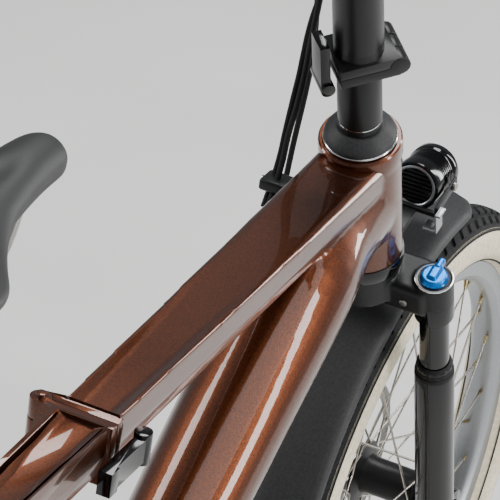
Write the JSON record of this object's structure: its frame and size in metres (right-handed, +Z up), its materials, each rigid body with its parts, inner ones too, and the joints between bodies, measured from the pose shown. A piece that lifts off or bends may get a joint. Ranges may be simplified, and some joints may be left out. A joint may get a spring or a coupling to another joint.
{
  "type": "folding bicycle",
  "caption": "Compact bicycle with small wheels, a folding frame and handlepost, suspension fork, mudguards, belt drive and disc brakes.",
  "frame": {"origin": "on the ground under the middle of the bicycle's bounding box", "axes": "+X forward, +Y to the rider's left, +Z up"},
  "size_m": [1.6822, 0.5914, 1.0351],
  "materials": {
    "copper_paint": "glossy metallic copper-brown with clear coat",
    "tyre": "matt tread with pale sidewalls",
    "rim_alloy": "satin",
    "steel": "satin",
    "charcoal_plastic": "matt",
    "black_gloss_metal": "gloss black",
    "black_alloy": "satin black",
    "black_plastic": "satin",
    "black_rubber": "matt",
    "saddle_cover": "matt",
    "blue_anodised": "anodised",
    "red_lens": "gloss"
  },
  "bodies": {
    "rear_frame": {"seat_tube": "copper_paint", "bottom_bracket_shell": "copper_paint", "chainstay_left": "copper_paint", "chainstay_right": "copper_paint", "seatstay_left": "copper_paint", "seatstay_right": "copper_paint", "rear_mudguard": "charcoal_plastic", "rear_light": "red_lens", "drive_belt": "black_rubber", "rear_brake_caliper": "black_alloy", "bottom_bracket_bearings": "steel"},
    "seatpost_and_saddle": {"seatpost": "black_alloy", "saddle": "saddle_cover"},
    "seat_lever": {"seat_clamp_lever": "black_gloss_metal"},
    "rear_wheel": {"rear_tyre": "tyre", "rear_rim": "rim_alloy", "rear_hub_and_spokes": "steel"},
    "sprocket": {"rear_sprocket": "steel"},
    "cranks": {"crank_arm_left": "black_gloss_metal", "crank_arm_right": "black_gloss_metal", "chainring": "black_alloy"},
    "pedal_axle_l": {"pedal_axle_left": "steel"},
    "pedal_axle_r": {"pedal_axle_right": "steel"},
    "pedal_l": {"pedal_left": "black_alloy"},
    "pedal_r": {"pedal_right": "black_alloy"},
    "stand": {"centre_stand": "black_alloy"},
    "front_frame": {"top_tube": "copper_paint", "down_tube": "copper_paint", "head_tube": "copper_paint", "headset_cover": "charcoal_plastic", "headset_bearings": "steel", "rear_brake_hose": "black_rubber", "gear_cable": "black_rubber"},
    "frame_latch_lever": {"frame_latch": "black_gloss_metal"},
    "fork_upper": {"fork_crown": "black_alloy", "stanchion_left": "black_gloss_metal", "stanchion_right": "black_gloss_metal", "handlepost_base": "black_alloy", "front_brake_hose": "black_rubber"},
    "lockout": {"lockout_lever": "blue_anodised"},
    "light": {"headlight": "black_plastic"},
    "fork_lowers": {"fork_lower_left": "black_gloss_metal", "fork_lower_right": "black_gloss_metal", "front_brake_caliper": "black_alloy", "front_mudguard": "charcoal_plastic"},
    "front_wheel": {"front_tyre": "tyre", "front_rim": "rim_alloy", "front_hub_and_spokes": "steel"},
    "handlepost": {"handlepost_outer": "black_alloy"},
    "post_latch": {"handlepost_latch": "black_gloss_metal"},
    "post_clamp_lever": {"handlepost_clamp_lever": "black_gloss_metal"},
    "handlebar_set": {"handlepost_inner": "black_alloy", "handlebar": "black_alloy", "grip_left": "black_rubber", "grip_right": "black_rubber", "brake_bracket_left": "black_alloy", "brake_bracket_right": "black_alloy"},
    "brake_lever_l": {"brake_lever_left": "black_gloss_metal"},
    "brake_lever_r": {"brake_lever_right": "black_gloss_metal"},
    "shifter": {"twist_shifter": "black_plastic"}
  },
  "joints": [
    {"name": "frame_fold", "type": "hinge", "parent": "rear_frame", "child": "front_frame", "pos_m": [-0.09094, 0.038, 0.645], "axis": [0, 0, 1], "range_deg": [0, 150]},
    {"name": "seatpost_slide", "type": "slide", "parent": "rear_frame", "child": "seatpost_and_saddle", "axis": [-0.309, 0, 0.9511], "range_m": [-0.14, 0.08]},
    {"name": "seat_clamp_lever_turn", "type": "hinge", "parent": "rear_frame", "child": "seat_lever", "pos_m": [-0.32419, 0.03, 0.71318], "axis": [0, -1, 0], "range_deg": [0, 150]},
    {"name": "rear_wheel_spin", "type": "hinge", "parent": "rear_frame", "child": "rear_wheel", "pos_m": [-0.55459, 0, 0.257], "axis": [0, 1, 0], "continuous": true},
    {"name": "rear_sprocket_spin", "type": "hinge", "parent": "rear_frame", "child": "sprocket", "pos_m": [-0.55459, 0, 0.257], "axis": [0, 1, 0], "continuous": true},
    {"name": "crank_spin", "type": "hinge", "parent": "rear_frame", "child": "cranks", "pos_m": [-0.15094, 0, 0.29], "axis": [0, 1, 0], "continuous": true},
    {"name": "pedal_left_spin", "type": "hinge", "parent": "cranks", "child": "pedal_axle_l", "pos_m": [0.01906, 0.09, 0.29], "axis": [0, 1, 0], "continuous": true},
    {"name": "pedal_right_spin", "type": "hinge", "parent": "cranks", "child": "pedal_axle_r", "pos_m": [-0.32094, -0.09, 0.29], "axis": [0, 1, 0], "continuous": true},
    {"name": "pedal_left_fold", "type": "hinge", "parent": "pedal_axle_l", "child": "pedal_l", "pos_m": [0.01906, 0.098, 0.29], "axis": [1, 0, 0], "range_deg": [0, 90]},
    {"name": "pedal_right_fold", "type": "hinge", "parent": "pedal_axle_r", "child": "pedal_r", "pos_m": [-0.32094, -0.098, 0.29], "axis": [-1, 0, 0], "range_deg": [0, 90]},
    {"name": "stand_fold", "type": "hinge", "parent": "rear_frame", "child": "stand", "pos_m": [-0.18094, 0, 0.192], "axis": [0, 1, 0], "range_deg": [0, 85]},
    {"name": "frame_latch_turn", "type": "hinge", "parent": "front_frame", "child": "frame_latch_lever", "pos_m": [-0.06694, -0.035, 0.643], "axis": [0, 0, 1], "range_deg": [0, 120]},
    {"name": "steering_turn", "type": "hinge", "parent": "front_frame", "child": "fork_upper", "pos_m": [0.3688, 0, 0.70223], "axis": [0.342, 0, -0.9397], "range_deg": [-45, 45], "deforming": ["rear_brake_hose", "gear_cable", "front_brake_hose"]},
    {"name": "lockout_turn", "type": "hinge", "parent": "fork_upper", "child": "lockout", "pos_m": [0.4279, -0.061, 0.56411], "axis": [-0.342, 0, 0.9397], "range_deg": [0, 90]},
    {"name": "headlight_tilt", "type": "hinge", "parent": "fork_upper", "child": "light", "pos_m": [0.53706, 0, 0.58788], "axis": [0, 1, 0], "range_deg": [-10, 2]},
    {"name": "fork_travel", "type": "slide", "parent": "fork_upper", "child": "fork_lowers", "axis": [-0.342, 0, 0.9397], "range_m": [0, 0.018], "stiffness_N_per_m": 6000, "springref_m": -0.02},
    {"name": "front_wheel_spin", "type": "hinge", "parent": "fork_lowers", "child": "front_wheel", "pos_m": [0.58406, 0, 0.257], "axis": [0, 1, 0], "continuous": true},
    {"name": "handlepost_fold", "type": "hinge", "parent": "fork_upper", "child": "handlepost", "pos_m": [0.35733, -0.01909, 0.78957], "axis": [-0.6645, -0.7071, -0.2418], "range_deg": [-150, 0]},
    {"name": "handlepost_latch_turn", "type": "hinge", "parent": "fork_upper", "child": "post_latch", "pos_m": [0.32493, 0.02121, 0.76075], "axis": [-0.6645, -0.7071, -0.2418], "range_deg": [0, 100]},
    {"name": "handlepost_clamp_lever_turn", "type": "hinge", "parent": "handlepost", "child": "post_clamp_lever", "pos_m": [0.2581, 0.011, 0.92159], "axis": [0, 1, 0], "range_deg": [0, 120]},
    {"name": "handlepost_slide", "type": "slide", "parent": "handlepost", "child": "handlebar_set", "axis": [-0.342, 0, 0.9397], "range_m": [-0.025, 0.05]},
    {"name": "brake_lever_left_pull", "type": "hinge", "parent": "handlebar_set", "child": "brake_lever_l", "pos_m": [0.28543, 0.126, 1.02306], "axis": [-0.342, 0, 0.9397], "range_deg": [0, 12], "stiffness_Nm_per_rad": 1, "springref_deg": -11.46},
    {"name": "brake_lever_right_pull", "type": "hinge", "parent": "handlebar_set", "child": "brake_lever_r", "pos_m": [0.28543, -0.126, 1.02306], "axis": [0.342, 0, -0.9397], "range_deg": [0, 12], "stiffness_Nm_per_rad": 1, "springref_deg": -11.46},
    {"name": "shifter_twist", "type": "hinge", "parent": "handlebar_set", "child": "shifter", "pos_m": [0.25181, -0.149, 1.01083], "axis": [0.0552, 0.9983, 0.0201], "range_deg": [-60, 60]}
  ],
  "couplings": [
    {"joint": "rear_sprocket_spin", "follows": "crank_spin", "ratio": 2.3}
  ]
}
